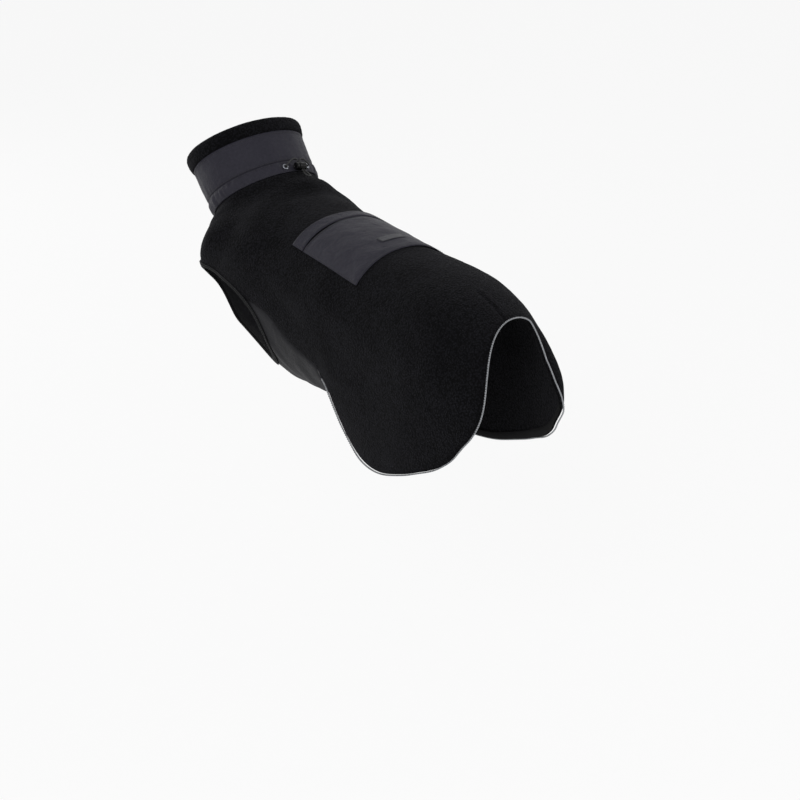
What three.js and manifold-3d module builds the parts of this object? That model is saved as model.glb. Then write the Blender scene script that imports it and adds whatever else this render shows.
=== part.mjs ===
// Fleece dog sweater, 52 cm along the back: the hollow worn form of the garment, one solid for each sewn piece.
// Millimetres, +Z up, the head end towards -Y, the dog's left towards +X. The origin is on the
// midline of the back panel's inner face, over the withers.
//
// A piece is cut flat and then wrapped on the worn form. A point of its outline is a station and a
// girth angle. The station says how far along the midline of the back it is, counted from the top of
// the collar. The angle is 0 on the midline of the back, 180 under the belly, and positive on the
// left side. Heights are counted from the form, which is the outer face of the cloth.
import Module from "manifold-3d";
import * as THREE from "three";
import { mergeVertices } from "three/addons/utils/BufferGeometryUtils.js";

const wasm = await Module();
wasm.setup();

// Cloth thicknesses and the gaps between pieces
const FLEECE = 3.0;
const STRETCH = 1.4;
const NYLON = 1.2;
const BINDING = 0.9;
const SEAM_GAP = 0.4;
const LAY_GAP = 1.2;

// Stations along the midline of the back
const ROLL_END = 20;
const CASING_START = 68;
const COLLAR_END = 88;
const BELLY_END = 316;
const BELLY_HEM_END = 328;

// Widths along the cloth, and trim
const BINDING_WIDTH = 7;
const FACING_WIDTH = 10;
const PIPING_RADIUS = 1.5;
const CORD_RADIUS = 1.2;
const POCKET_END = 386;
const SLIT_OPEN = 3;
const LABEL = { station: 349, length: 15, angle: 10.5 };
const EYELET = { station: 79, spread: 15, outer: 4.6, inner: 2.2, height: 1.2 };
const LOCK = { station: 85, angle: -15, radius: 6, body: 13, button: 4.5, buttonRadius: 5.2, height: 7 };

// Grid that the flat pieces are bent along
const STATION_STEP = 20;
const ANGLE_STEP = 10;
const MM_PER_DEGREE = 1.9;
const RING_STEPS = 36;

const SECTIONS = [
  // y and z: the section's top point; tilt: how far it leans, from the vertical plane, in degrees;
  // pull: share of the radius by which the worn coat is drawn in or stands out on the upper right
  { name: "collar top", y: -208, z: 97, tilt: 52, half: 87, up: 78, down: 82, topPower: 2.0, lowPower: 2.0, pull: 0 },
  { name: "collar fold", y: -192, z: 78, tilt: 52, half: 85, up: 77, down: 82, topPower: 2.0, lowPower: 2.0, pull: 0 },
  { name: "collar base", y: -138, z: 26, tilt: 48, half: 83, up: 76, down: 78, topPower: 2.0, lowPower: 2.0, pull: -0.035 },
  { name: "breast", y: -104, z: 14, tilt: 40, half: 114, up: 88, down: 124, topPower: 2.1, lowPower: 2.1, pull: -0.05 },
  { name: "shoulder", y: -70, z: 8, tilt: 31, half: 123, up: 92, down: 166, topPower: 2.2, lowPower: 2.1, pull: -0.13 },
  { name: "withers", y: 0, z: 3, tilt: 14, half: 114, up: 98, down: 166, topPower: 2.2, lowPower: 2.2, pull: -0.075 },
  { name: "ribs", y: 80, z: 0, tilt: 3, half: 108, up: 102, down: 146, topPower: 2.2, lowPower: 2.2, pull: -0.069 },
  { name: "flank", y: 120, z: -2, tilt: 1, half: 103, up: 105, down: 190, topPower: 2.2, lowPower: 3.0, pull: -0.06 },
  { name: "thigh", y: 170, z: -5, tilt: 0, half: 101, up: 110, down: 225, topPower: 2.2, lowPower: 3.4, pull: -0.01 },
  { name: "loin", y: 240, z: -11, tilt: 0, half: 101, up: 120, down: 250, topPower: 2.2, lowPower: 3.5, pull: 0.038 },
  { name: "rump", y: 300, z: -21, tilt: 0, half: 98, up: 130, down: 260, topPower: 2.2, lowPower: 3.6, pull: 0.028 },
  { name: "croup", y: 345, z: -36, tilt: 0, half: 91, up: 135, down: 260, topPower: 2.1, lowPower: 3.4, pull: 0.02 },
  { name: "tail", y: 395, z: -63, tilt: 0, half: 80, up: 135, down: 240, topPower: 2.0, lowPower: 3.2, pull: 0.02 },
  { name: "end", y: 430, z: -89, tilt: 0, half: 70, up: 130, down: 220, topPower: 2.0, lowPower: 3.0, pull: 0.02 },
];

// Where the pull and the puff begin, are full, begin to fade and are gone
const PULL_ANGLES = [4, 42, 58, 98];
const PUFF = { size: 0.2, stations: [88, 106, 116, 162], angles: [58, 92, 122, 165] };

const COLOURS = {
  fleece: { color: 0x161618, roughness: 1.0, metalness: 0 },
  stretch: { color: 0x202024, roughness: 0.85, metalness: 0 },
  nylon: { color: 0x38373e, roughness: 0.55, metalness: 0 },
  binding: { color: 0x101012, roughness: 0.9, metalness: 0 },
  piping: { color: 0xb9bcc0, roughness: 0.45, metalness: 0.2 },
  metal: { color: 0xb0b2b6, roughness: 0.25, metalness: 1.0 },
  plastic: { color: 0x0d0d0f, roughness: 0.3, metalness: 0 },
  cord: { color: 0x111113, roughness: 0.8, metalness: 0 },
};

// ---- The worn form -----------------------------------------------------------------------------

const radians = (degrees) => (degrees * Math.PI) / 180;

const stations = SECTIONS.reduce((list, row, i) => {
  const before = SECTIONS[i - 1];
  return [...list, i === 0 ? 0 : list[i - 1] + Math.hypot(row.y - before.y, row.z - before.z)];
}, []);

// Monotone cubic slope at row i of a column: it never overshoots between two sections
function slope(column, i) {
  const step = (k) => (SECTIONS[k + 1][column] - SECTIONS[k][column]) / (stations[k + 1] - stations[k]);
  if (i === 0) return step(0);
  if (i === SECTIONS.length - 1) return step(i - 1);
  const before = step(i - 1);
  const after = step(i);
  if (before * after <= 0) return 0;
  const widthBefore = stations[i] - stations[i - 1];
  const widthAfter = stations[i + 1] - stations[i];
  const weightBefore = 2 * widthAfter + widthBefore;
  const weightAfter = widthAfter + 2 * widthBefore;
  return (weightBefore + weightAfter) / (weightBefore / before + weightAfter / after);
}

function sectionValue(column, station) {
  const last = SECTIONS.length - 2;
  const i = Math.min(last, Math.max(0, stations.findLastIndex((s) => s <= station)));
  const width = stations[i + 1] - stations[i];
  const t = (station - stations[i]) / width;
  const rise = t * t * (3 - 2 * t);
  const value = SECTIONS[i][column] * (1 - rise) + SECTIONS[i + 1][column] * rise;
  const slopeIn = slope(column, i) * t * (1 - t) * (1 - t);
  const slopeOut = slope(column, i + 1) * t * t * (t - 1);
  return value + width * (slopeIn + slopeOut);
}

// 0 before the first edge, 1 between the middle two, and 0 after the last
function riseAndFall(value, [start, full, fading, gone]) {
  const ease = THREE.MathUtils.smoothstep;
  return ease(value, start, full) * (1 - ease(value, fading, gone));
}

// How far the cloth stands off the plain section, as a share of the radius: the section's pull is
// only on the upper right side, and the puff is over both of the dog's shoulders
function swellAt(station, angle) {
  const side = THREE.MathUtils.radToDeg(Math.acos(Math.cos(radians(angle))));
  const pull = sectionValue("pull", station) * riseAndFall(-angle, PULL_ANGLES);
  return pull + PUFF.size * riseAndFall(station, PUFF.stations) * riseAndFall(side, PUFF.angles);
}

function sectionPoint(station, angle) {
  const at = (column) => sectionValue(column, station);
  const sine = Math.sin(radians(angle));
  const cosine = Math.cos(radians(angle));
  const power = cosine > 0 ? at("topPower") : at("lowPower");
  const reach = cosine > 0 ? at("up") : at("down");
  const shrink = (Math.abs(sine) ** power + Math.abs(cosine) ** power) ** (1 / power);
  const swell = (1 + swellAt(station, angle)) / shrink;
  const across = at("half") * sine * swell;
  const drop = reach * cosine * swell - at("up");
  const tilt = radians(at("tilt"));
  return new THREE.Vector3(across, at("y") + drop * Math.sin(tilt), at("z") + drop * Math.cos(tilt));
}

// Directions on the form: along the stations, round the girth, and out of the cloth
function formDirections(station, angle) {
  const small = 0.5;
  const along = sectionPoint(station + small, angle).sub(sectionPoint(station - small, angle));
  const around = sectionPoint(station, angle + small).sub(sectionPoint(station, angle - small));
  const out = around.clone().cross(along).normalize();
  return { along, around, out };
}

function formPoint(station, angle, height = 0) {
  return sectionPoint(station, angle).addScaledVector(formDirections(station, angle).out, height);
}

// Moves an edge point to the right of its way by a true distance; ahead is the edge's next point
function stepSideways([station, angle], ahead, distance) {
  const { along, around, out } = formDirections(station, angle);
  const edge = formPoint(...ahead).sub(formPoint(station, angle)).normalize();
  const side = edge.cross(out).multiplyScalar(distance);
  const alongAlong = along.dot(along);
  const aroundAround = around.dot(around);
  const cross = along.dot(around);
  const whole = alongAlong * aroundAround - cross * cross;
  const stationStep = (side.dot(along) * aroundAround - side.dot(around) * cross) / whole;
  const angleStep = (side.dot(around) * alongAlong - side.dot(along) * cross) / whole;
  return [station + stationStep, angle + angleStep];
}

function stepEdge(points, distance, closed = false) {
  return points.map((point, i) => {
    const last = points.length - 1;
    const next = i < last || closed ? points[(i + 1) % points.length] : null;
    return next ? stepSideways(point, next, distance) : stepSideways(point, points[i - 1], -distance);
  });
}

// ---- Flat cutting and wrapping -----------------------------------------------------------------

function toSolid(geometry) {
  geometry.deleteAttribute("normal");
  geometry.deleteAttribute("uv");
  const merged = mergeVertices(geometry, 1e-4);
  const mesh = new wasm.Mesh({
    numProp: 3,
    vertProperties: merged.attributes.position.array,
    triVerts: new Uint32Array(merged.index.array),
  });
  return new wasm.Manifold(mesh);
}

function toGeometry(solid) {
  const mesh = solid.getMesh();
  const geometry = new THREE.BufferGeometry();
  geometry.setAttribute("position", new THREE.BufferAttribute(Float32Array.from(mesh.vertProperties), 3));
  geometry.setIndex(new THREE.BufferAttribute(Uint32Array.from(mesh.triVerts), 1));
  return geometry;
}

function moveVertices(geometry, move) {
  const position = geometry.attributes.position;
  for (let i = 0; i < position.count; i += 1) {
    const moved = move(position.getX(i), position.getY(i), position.getZ(i));
    position.setXYZ(i, moved.x, moved.y, moved.z);
  }
  return geometry;
}

function flatPoints(outline) {
  return outline.map(([station, angle]) => new THREE.Vector2(angle * MM_PER_DEGREE, station));
}

function wrap(solid) {
  return moveVertices(toGeometry(solid), (x, y, z) => formPoint(y, x / MM_PER_DEGREE, z));
}

// A flat grid of cloth whose lines fall on whole steps, so that pieces laid on each other bend alike
function clothGrid(outline, low, high) {
  const box = new THREE.Box2().setFromPoints(flatPoints(outline));
  const angleWidth = ANGLE_STEP * MM_PER_DEGREE;
  const right = Math.floor(box.min.x / angleWidth) - 1;
  const left = Math.ceil(box.max.x / angleWidth) + 1;
  const first = Math.floor(box.min.y / STATION_STEP) - 1;
  const last = Math.ceil(box.max.y / STATION_STEP) + 1;
  const wide = (left - right) * angleWidth;
  const long = (last - first) * STATION_STEP;
  const grid = new THREE.BoxGeometry(wide, long, high - low, left - right, last - first, 1);
  return toSolid(grid.translate(right * angleWidth + wide / 2, first * STATION_STEP + long / 2, (low + high) / 2));
}

function prism(outline, low, high) {
  const margin = 1;
  const shape = new THREE.Shape(flatPoints(outline));
  const block = new THREE.ExtrudeGeometry(shape, { depth: high - low + 2 * margin, bevelEnabled: false });
  return toSolid(block.translate(0, 0, low - margin));
}

// outline and cuts: closed lists of [station, angle]; low and high: heights above the form
function clothPiece(outline, low, high, cuts = []) {
  const whole = clothGrid(outline, low, high).intersect(prism(outline, low, high));
  return wrap(cuts.reduce((solid, cut) => solid.subtract(prism(cut, low, high)), whole));
}

// Points at one height, every grid step or so from one station to another
function stretch(from, to, height) {
  const steps = Math.ceil(Math.abs(to - from) / (1.25 * STATION_STEP));
  return Array.from({ length: steps + 1 }, (unused, i) => [from + ((to - from) * i) / steps, height]);
}

// profile: a closed list of [station, height] that runs all round the neck
function clothRing(profile) {
  const spread = 1000;
  const points = profile.map(([station, height]) => new THREE.Vector2(spread + height, station));
  const lathe = new THREE.LatheGeometry([...points, points[0]], RING_STEPS);
  return moveVertices(lathe, (x, y, z) => {
    const angle = (Math.atan2(x, z) * 180) / Math.PI;
    return formPoint(y, angle, Math.hypot(x, z) - spread);
  });
}

function mirrored(points) {
  return points.map(([station, angle]) => [station, -angle]);
}

function curveThrough(points, steps) {
  const curve = new THREE.SplineCurve(points.map(([station, angle]) => new THREE.Vector2(station, angle)));
  return curve.getPoints(steps).map((point) => [point.x, point.y]);
}

// ---- Outlines, left side -----------------------------------------------------------------------

// The seam between the fleece and the belly panel, from the collar to the end of the belly hem
const SIDE_SEAM = [
  [COLLAR_END + SEAM_GAP, 119], [112, 116.5], [138, 113.5], [162, 112], [184, 109], [203, 104], [220, 102.5],
  [243, 103.5], [262, 109], [288, 115.5], [BELLY_HEM_END + SEAM_GAP, 124],
];

// The hem of the fleece, from the end of the side seam round the thigh flap to the tail arch
const FLAP_HEM = [
  [BELLY_HEM_END + SEAM_GAP, 124], [342, 126], [354, 130], [367, 134], [384, 134.5], [405, 131.5], [432, 127.5],
  [471, 122], [515, 115], [552, 109], [589, 102], [620, 93.5], [644, 79], [654, 64], [649, 51], [638, 39.5],
  [626, 28], [616, 17], [609.5, 8], [605.5, 0],
];

// The tail arch reaches further forward on the right; the right hem has these points for its last ones
const RIGHT_ARCH = [
  [651, 66], [644, 56], [626, 46], [606, 37], [598, 27], [599, 17], [602, 8], [605.5, 0],
];

// The armhole is an oval
const ARMHOLE = { station: 184, angle: 127, alongHalf: 53, aroundHalf: 25, steps: 28 };

const sideSeam = curveThrough(SIDE_SEAM, 22);
const leftHem = curveThrough(FLAP_HEM, 50);
const rightHem = curveThrough([...FLAP_HEM.slice(0, 1 - RIGHT_ARCH.length), ...RIGHT_ARCH], 50);
const wholeHem = [...leftHem.slice(1), ...mirrored(rightHem).reverse().slice(1, -1)];

const armhole = Array.from({ length: ARMHOLE.steps }, (unused, i) => {
  const turn = (2 * Math.PI * i) / ARMHOLE.steps;
  const along = ARMHOLE.alongHalf * Math.sin(turn);
  const around = ARMHOLE.aroundHalf * Math.cos(turn);
  return [ARMHOLE.station + along, ARMHOLE.angle + around];
});

// A cut edge that runs round the girth between two angles. It is never quite straight on the flat,
// because the points of a straight edge would be merged and it could not bend round the form.
function girthEdge(stationAt, fromAngle, toAngle) {
  const steps = Math.ceil(Math.abs(toAngle - fromAngle) / ANGLE_STEP);
  const bow = 0.25;
  return Array.from({ length: steps + 1 }, (unused, i) => {
    const angle = fromAngle + ((toAngle - fromAngle) * i) / steps;
    return [stationAt(angle) + bow * Math.sin((Math.PI * i) / steps), angle];
  });
}

// The pocket's edges bow towards the neck on the midline; its left half has the open slit
const pocketAngle = (station) => 46 + (5 * (station - 243)) / 143;
const pocketTop = (angle) => 229 + 14 * (angle / 46) ** 2;
const bandEnd = (angle) => 251 + 15 * (angle / 46) ** 2;
const slitWidth = (angle) => SEAM_GAP + SLIT_OPEN * Math.max(0, Math.sin(radians(((angle - 8) * 180) / 35)));

// ---- The pieces --------------------------------------------------------------------------------

function backPanel() {
  const leftEdge = [...sideSeam, ...leftHem.slice(1)];
  const rightEdge = mirrored([...sideSeam, ...rightHem.slice(1)]);
  const neck = girthEdge(() => sideSeam[0][0], -sideSeam[0][1], sideSeam[0][1]).slice(1, -1);
  const outline = [...leftEdge, ...rightEdge.reverse().slice(1), ...neck];
  return clothPiece(outline, -FLEECE, 0, [armhole, mirrored(armhole)]);
}

// The outline of a piece that hangs below the two side seams, from one station to another
function belowSeam(first, last, gap) {
  const inside = sideSeam.filter(([station]) => station > first + 1 && station < last - 1);
  const seamAngle = (station) => {
    const i = sideSeam.findIndex(([next]) => next >= station - 0.01);
    const [after, angleAfter] = sideSeam[Math.max(1, i)];
    const [before, angleBefore] = sideSeam[Math.max(1, i) - 1];
    return angleBefore + ((angleAfter - angleBefore) * (station - before)) / (after - before);
  };
  const left = [[first, seamAngle(first)], ...inside, [last, seamAngle(last)]];
  const lowered = left.map(([station, angle]) => [station, angle + gap / MM_PER_DEGREE]);
  const right = lowered.map(([station, angle]) => [station, 360 - angle]).reverse();
  const rear = girthEdge(() => last, lowered.at(-1)[1], 360 - lowered.at(-1)[1]).slice(1, -1);
  const front = girthEdge(() => first, 360 - lowered[0][1], lowered[0][1]).slice(1, -1);
  return [...lowered, ...rear, ...right, ...front];
}

function bellyPanel() {
  const farArmhole = armhole.map(([station, angle]) => [station, 360 - angle]);
  return clothPiece(belowSeam(COLLAR_END + SEAM_GAP, BELLY_END, 1.6 * SEAM_GAP), -STRETCH, 0, [armhole, farArmhole]);
}

function bellyHem() {
  return clothPiece(belowSeam(BELLY_END + SEAM_GAP, BELLY_HEM_END - SEAM_GAP, 3 * SEAM_GAP), -STRETCH - 0.6, 0.4);
}

// A binding lies on the rim of an armhole, on both panels
function armholeBinding(side) {
  const rim = armhole.map(([station, angle]) => [station, angle * side]);
  const outer = stepEdge(rim, BINDING_WIDTH * side, true);
  return clothPiece(outer, LAY_GAP, LAY_GAP + BINDING, [rim]);
}

// A facing lies inside the hem of the fleece
function hemFacing() {
  const inset = 0.5;
  const outer = stepEdge(wholeHem, -inset);
  const inner = stepEdge(wholeHem, -FACING_WIDTH);
  return clothPiece([...outer, ...inner.reverse()], -FLEECE - LAY_GAP - BINDING, -FLEECE - LAY_GAP);
}

function tubeAlong(points, radius, steps, sides) {
  const section = new THREE.Shape(Array.from({ length: sides }, (unused, i) => {
    const turn = (2 * Math.PI * i) / sides;
    return new THREE.Vector2(radius * Math.cos(turn), radius * Math.sin(turn));
  }));
  const path = new THREE.CatmullRomCurve3(points, false, "centripetal");
  return new THREE.ExtrudeGeometry(section, { steps, extrudePath: path, bevelEnabled: false });
}

// The piping runs along the cut edge of the fleece, at the middle of its thickness
function hemPiping() {
  const beside = stepEdge(wholeHem, PIPING_RADIUS + 1.5 * SEAM_GAP);
  const points = beside.map(([station, angle]) => formPoint(station, angle, -FLEECE / 2));
  return tubeAlong(points, PIPING_RADIUS, 100, 6);
}

function collarShell() {
  const first = ROLL_END + SEAM_GAP;
  const last = CASING_START - SEAM_GAP;
  return clothRing([...stretch(last, first, -NYLON), ...stretch(first, last, 0)]);
}

function collarCasing() {
  const last = COLLAR_END - SEAM_GAP;
  const swell = 1;
  const middle = (CASING_START + last) / 2;
  return clothRing([
    [last, -NYLON], [CASING_START, -NYLON], [CASING_START, 0], [middle, swell], [last, 0]]);
}

// The lining stands inside the shell and rolls over the top edge, where it shows
function collarLining() {
  const under = -NYLON - LAY_GAP;
  const last = COLLAR_END - SEAM_GAP;
  return clothRing([
    ...stretch(last, 16, under - FLEECE), [6, -6.4], [0, -5.2], [-1.5, -1.5], [1, 1.8], [6, 3.2], [14, 3],
    [ROLL_END, 1.6], [ROLL_END, under], ...stretch(ROLL_END + 6, last, under)]);
}

function pocketBand() {
  const upper = girthEdge(pocketTop, pocketAngle(243), -pocketAngle(243));
  const lower = girthEdge(bandEnd, pocketAngle(266), -pocketAngle(266));
  return clothPiece([...upper, ...lower.reverse()], LAY_GAP, LAY_GAP + 2 * NYLON);
}

function pocketPatch() {
  const upper = girthEdge((angle) => bandEnd(angle) + slitWidth(angle), pocketAngle(267), -pocketAngle(267));
  const lower = girthEdge(() => POCKET_END, pocketAngle(POCKET_END), -pocketAngle(POCKET_END));
  return clothPiece([...upper, ...lower.reverse()], LAY_GAP, LAY_GAP + NYLON);
}

function pocketLabel() {
  const first = LABEL.station - LABEL.length / 2;
  const last = LABEL.station + LABEL.length / 2;
  const upper = girthEdge(() => first, LABEL.angle, -LABEL.angle);
  const lower = girthEdge(() => last, LABEL.angle, -LABEL.angle);
  const low = 2 * LAY_GAP + NYLON;
  return clothPiece([...upper, ...lower.reverse()], low, low + 0.6);
}

// ---- Drawcord and its fittings -----------------------------------------------------------------

// Local axes at a place on the form: X round the girth, Y along the stations, Z out of the cloth
function placeOnForm(station, angle, height) {
  const { along, out } = formDirections(station, angle);
  const y = along.normalize();
  const x = y.clone().cross(out);
  return new THREE.Matrix4().makeBasis(x, y, out).setPosition(formPoint(station, angle, height));
}

function eyelet(angle) {
  const { outer, inner, height } = EYELET;
  const profile = [
    [inner, 0], [outer, 0], [outer, height * 0.4], [outer - 1, height], [inner + 0.5, height], [inner, height * 0.5],
    [inner, 0],
  ].map(([radius, z]) => new THREE.Vector2(radius, z));
  const ring = new THREE.LatheGeometry(profile, 14).rotateX(Math.PI / 2);
  return ring.applyMatrix4(placeOnForm(EYELET.station, angle, 1.6));
}

const lockPlace = placeOnForm(LOCK.station, LOCK.angle, LOCK.height);

// A barrel across the girth with one slot through it, wide enough for both strands of the cord
function lockBody() {
  const barrel = new THREE.CylinderGeometry(LOCK.radius, LOCK.radius, LOCK.body, 24).rotateZ(-Math.PI / 2);
  const slot = new THREE.BoxGeometry(4 * CORD_RADIUS + 1.6, 4 * LOCK.radius, 2 * CORD_RADIUS + 0.8);
  return toGeometry(toSolid(barrel).subtract(toSolid(slot))).applyMatrix4(lockPlace);
}

function lockButton() {
  const radius = LOCK.buttonRadius;
  const profile = [[0, 0], [radius, 0], [radius, 3.4], [radius - 1.1, LOCK.button], [0, LOCK.button]];
  const button = new THREE.LatheGeometry(profile.map(([x, y]) => new THREE.Vector2(x, y)), 24);
  button.translate(0, LOCK.body / 2 + SEAM_GAP, 0).rotateZ(-Math.PI / 2);
  return button.applyMatrix4(lockPlace);
}

// Half of the cord's route in the lock's axes: from the eyelet, through the slot, to the loop's end
const CORD_ROUTE = [
  [14, -10.5, 0.2], [8, -12.5, 1.8], [3.2, -11.5, 0.9], [1.7, -8.5, 0.1], [1.6, -5, 0], [1.6, 0, 0], [1.6, 5, 0],
  [2, 9, 0.4], [3.6, 14, 1.6], [3.6, 19, 3.4], [1.6, 21.5, 4.6],
];

function drawcord() {
  const strand = (side) => {
    const angle = LOCK.angle + EYELET.spread * side;
    const rise = [1.6, 5].map((height) => formPoint(EYELET.station, angle, height));
    const rest = CORD_ROUTE.map(([x, y, z]) => new THREE.Vector3(x * side, y, z).applyMatrix4(lockPlace));
    return [...rise, ...rest];
  };
  return tubeAlong([...strand(1), ...strand(-1).reverse()], CORD_RADIUS, 60, 8);
}

// ---- The garment -------------------------------------------------------------------------------

const PIECES = [
  ["back_panel", "fleece", backPanel()],
  ["belly_panel", "stretch", bellyPanel()],
  ["belly_hem", "binding", bellyHem()],
  ["armhole_binding_left", "binding", armholeBinding(1)],
  ["armhole_binding_right", "binding", armholeBinding(-1)],
  ["hem_piping", "piping", hemPiping()],
  ["hem_facing", "binding", hemFacing()],
  ["collar_shell", "nylon", collarShell()],
  ["collar_casing", "nylon", collarCasing()],
  ["collar_lining", "fleece", collarLining()],
  ["pocket_band", "nylon", pocketBand()],
  ["pocket_patch", "nylon", pocketPatch()],
  ["pocket_label", "piping", pocketLabel()],
  ["eyelet_left", "metal", eyelet(LOCK.angle + EYELET.spread)],
  ["eyelet_right", "metal", eyelet(LOCK.angle - EYELET.spread)],
  ["cord_lock_body", "plastic", lockBody()],
  ["cord_lock_button", "plastic", lockButton()],
  ["drawcord", "cord", drawcord()],
];

const garment = new THREE.Group();
for (const [name, material, geometry] of PIECES) {
  const mesh = new THREE.Mesh(geometry, new THREE.MeshStandardMaterial(COLOURS[material]));
  mesh.name = name;
  garment.add(mesh);
}

export default garment;
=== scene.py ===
"""Fleece dog sweater: the sewn pieces as thin shells on the worn form that the frame holds."""
import bpy
import math
import numpy as np
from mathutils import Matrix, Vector, geometry, kdtree, noise


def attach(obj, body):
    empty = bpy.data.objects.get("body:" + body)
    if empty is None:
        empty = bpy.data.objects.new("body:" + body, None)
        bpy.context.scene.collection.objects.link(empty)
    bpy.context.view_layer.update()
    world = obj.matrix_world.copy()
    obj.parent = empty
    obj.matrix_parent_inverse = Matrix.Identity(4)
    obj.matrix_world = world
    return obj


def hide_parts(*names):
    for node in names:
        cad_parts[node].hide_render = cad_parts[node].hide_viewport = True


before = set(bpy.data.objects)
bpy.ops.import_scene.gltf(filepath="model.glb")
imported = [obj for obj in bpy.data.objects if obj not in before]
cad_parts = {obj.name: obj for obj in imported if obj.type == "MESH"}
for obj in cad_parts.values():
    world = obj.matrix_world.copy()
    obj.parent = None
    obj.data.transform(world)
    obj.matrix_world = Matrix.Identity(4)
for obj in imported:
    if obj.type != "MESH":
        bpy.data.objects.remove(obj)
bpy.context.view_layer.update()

MM = 0.001


def unit(vectors):
    return vectors / (np.linalg.norm(vectors, axis=-1, keepdims=True) + 1e-12)


def run_lengths(points):
    """How far along a line each of its points is."""
    return np.concatenate([[0], np.cumsum(np.linalg.norm(np.diff(points, axis=0), axis=1))])


def resample(line, step, closed=False):
    """Even points along a line, about this step apart."""
    if closed:
        line = np.vstack([line, line[:1]])
    length = run_lengths(line)
    count = max(2, int(round(length[-1] / step)) + 1)
    even = np.linspace(0, length[-1], count)
    points = np.stack([np.interp(even, length, column) for column in line.T], -1)
    return points[:-1] if closed else points


def smooth_step(value, low, high):
    share = np.clip((value - low) / (high - low), 0, 1)
    return share * share * (3 - 2 * share)


def rise_and_fall(value, edges):
    """0 before the first edge, 1 between the middle two, and 0 after the last."""
    return smooth_step(value, edges[0], edges[1]) * (1 - smooth_step(value, edges[2], edges[3]))


def ease(distance, reach):
    """0 at the edge, rising to 1 at this distance from it."""
    return smooth_step(distance, 0, reach)


def tree_of(points):
    """A tree that finds the nearest of these flat points."""
    tree = kdtree.KDTree(len(points))
    for i, (x, y) in enumerate(points):
        tree.insert((x, y, 0), i)
    tree.balance()
    return tree


# ---- The worn form, as the frame's solids have it -----------------------------------------------
# y, z: the section's top point, and half, up, down: its reach (mm); tilt: its lean in degrees;
# pull: share of the radius by which the worn coat is drawn in or stands out on the upper right
SECTION_COLUMNS = ("y", "z", "tilt", "half", "up", "down", "top_power", "low_power", "pull")
SECTIONS = np.array([
    (-208, 97, 52, 87, 78, 82, 2.0, 2.0, 0),                  # collar top
    (-192, 78, 52, 85, 77, 82, 2.0, 2.0, 0),                  # collar fold
    (-138, 26, 48, 83, 76, 78, 2.0, 2.0, -0.035),             # collar base
    (-104, 14, 40, 114, 88, 124, 2.1, 2.1, -0.05),            # breast
    (-70, 8, 31, 123, 92, 166, 2.2, 2.1, -0.13),              # shoulder
    (0, 3, 14, 114, 98, 166, 2.2, 2.2, -0.075),               # withers
    (80, 0, 3, 108, 102, 146, 2.2, 2.2, -0.069),              # ribs
    (120, -2, 1, 103, 105, 190, 2.2, 3.0, -0.06),             # flank
    (170, -5, 0, 101, 110, 225, 2.2, 3.4, -0.01),             # thigh
    (240, -11, 0, 101, 120, 250, 2.2, 3.5, 0.038),            # loin
    (300, -21, 0, 98, 130, 260, 2.2, 3.6, 0.028),             # rump
    (345, -36, 0, 91, 135, 260, 2.1, 3.4, 0.02),              # croup
    (395, -63, 0, 80, 135, 240, 2.0, 3.2, 0.02),              # tail
    (430, -89, 0, 70, 130, 220, 2.0, 3.0, 0.02),              # end
], float)
STATIONS = run_lengths(SECTIONS[:, :2])
PULL_ANGLES = (4, 42, 58, 98)    # the pull begins, is full, begins to fade and is gone, towards the right

# The cloth stands out below the collar, over both of the dog's shoulders: the share of the radius, and
# the stations and angles at which it begins, is full, begins to fade and is gone
PUFF = 0.2
PUFF_STATIONS = (88, 106, 116, 162)
PUFF_ANGLES = (58, 92, 122, 165)


def column_slopes(values):
    """Monotone cubic slopes of one column, so that it never overshoots between two sections."""
    width = np.diff(STATIONS)
    step = np.diff(values) / width
    slopes = np.zeros(len(values))
    slopes[0], slopes[-1] = step[0], step[-1]
    for i in range(1, len(values) - 1):
        if step[i - 1] * step[i] > 0:
            before, after = 2 * width[i] + width[i - 1], width[i] + 2 * width[i - 1]
            slopes[i] = (before + after) / (before / step[i - 1] + after / step[i])
    return slopes


SLOPES = np.array([column_slopes(SECTIONS[:, k]) for k in range(len(SECTION_COLUMNS))]).T


def section_values(station):
    """The section's columns at each station, in mm and degrees."""
    i = np.clip(np.searchsorted(STATIONS, station, side="right") - 1, 0, len(STATIONS) - 2)
    width = STATIONS[i + 1] - STATIONS[i]
    t = (station - STATIONS[i]) / width
    rise = t * t * (3 - 2 * t)
    t, rise, width = t[..., None], rise[..., None], width[..., None]
    value = SECTIONS[i] * (1 - rise) + SECTIONS[i + 1] * rise
    value = value + width * (SLOPES[i] * t * (1 - t) ** 2 + SLOPES[i + 1] * t * t * (t - 1))
    return dict(zip(SECTION_COLUMNS, np.moveaxis(value, -1, 0)))


def section_point(station, angle):
    """Points of the form, in metres. station is in mm, angle in degrees."""
    station, angle = np.broadcast_arrays(np.asarray(station, float), np.asarray(angle, float))
    at = section_values(station)
    sine, cosine = np.sin(np.radians(angle)), np.cos(np.radians(angle))
    power = np.where(cosine > 0, at["top_power"], at["low_power"])
    reach = np.where(cosine > 0, at["up"], at["down"])
    shrink = (np.abs(sine) ** power + np.abs(cosine) ** power) ** (1 / power)
    pull = at["pull"] * rise_and_fall(-angle, PULL_ANGLES)
    side = np.degrees(np.arccos(cosine))
    puff = PUFF * rise_and_fall(station, PUFF_STATIONS) * rise_and_fall(side, PUFF_ANGLES)
    swell = (1 + pull + puff) / shrink
    across = at["half"] * sine * swell
    drop = reach * cosine * swell - at["up"]
    tilt = np.radians(at["tilt"])
    return MM * np.stack([across, at["y"] + drop * np.sin(tilt), at["z"] + drop * np.cos(tilt)], -1)


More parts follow.
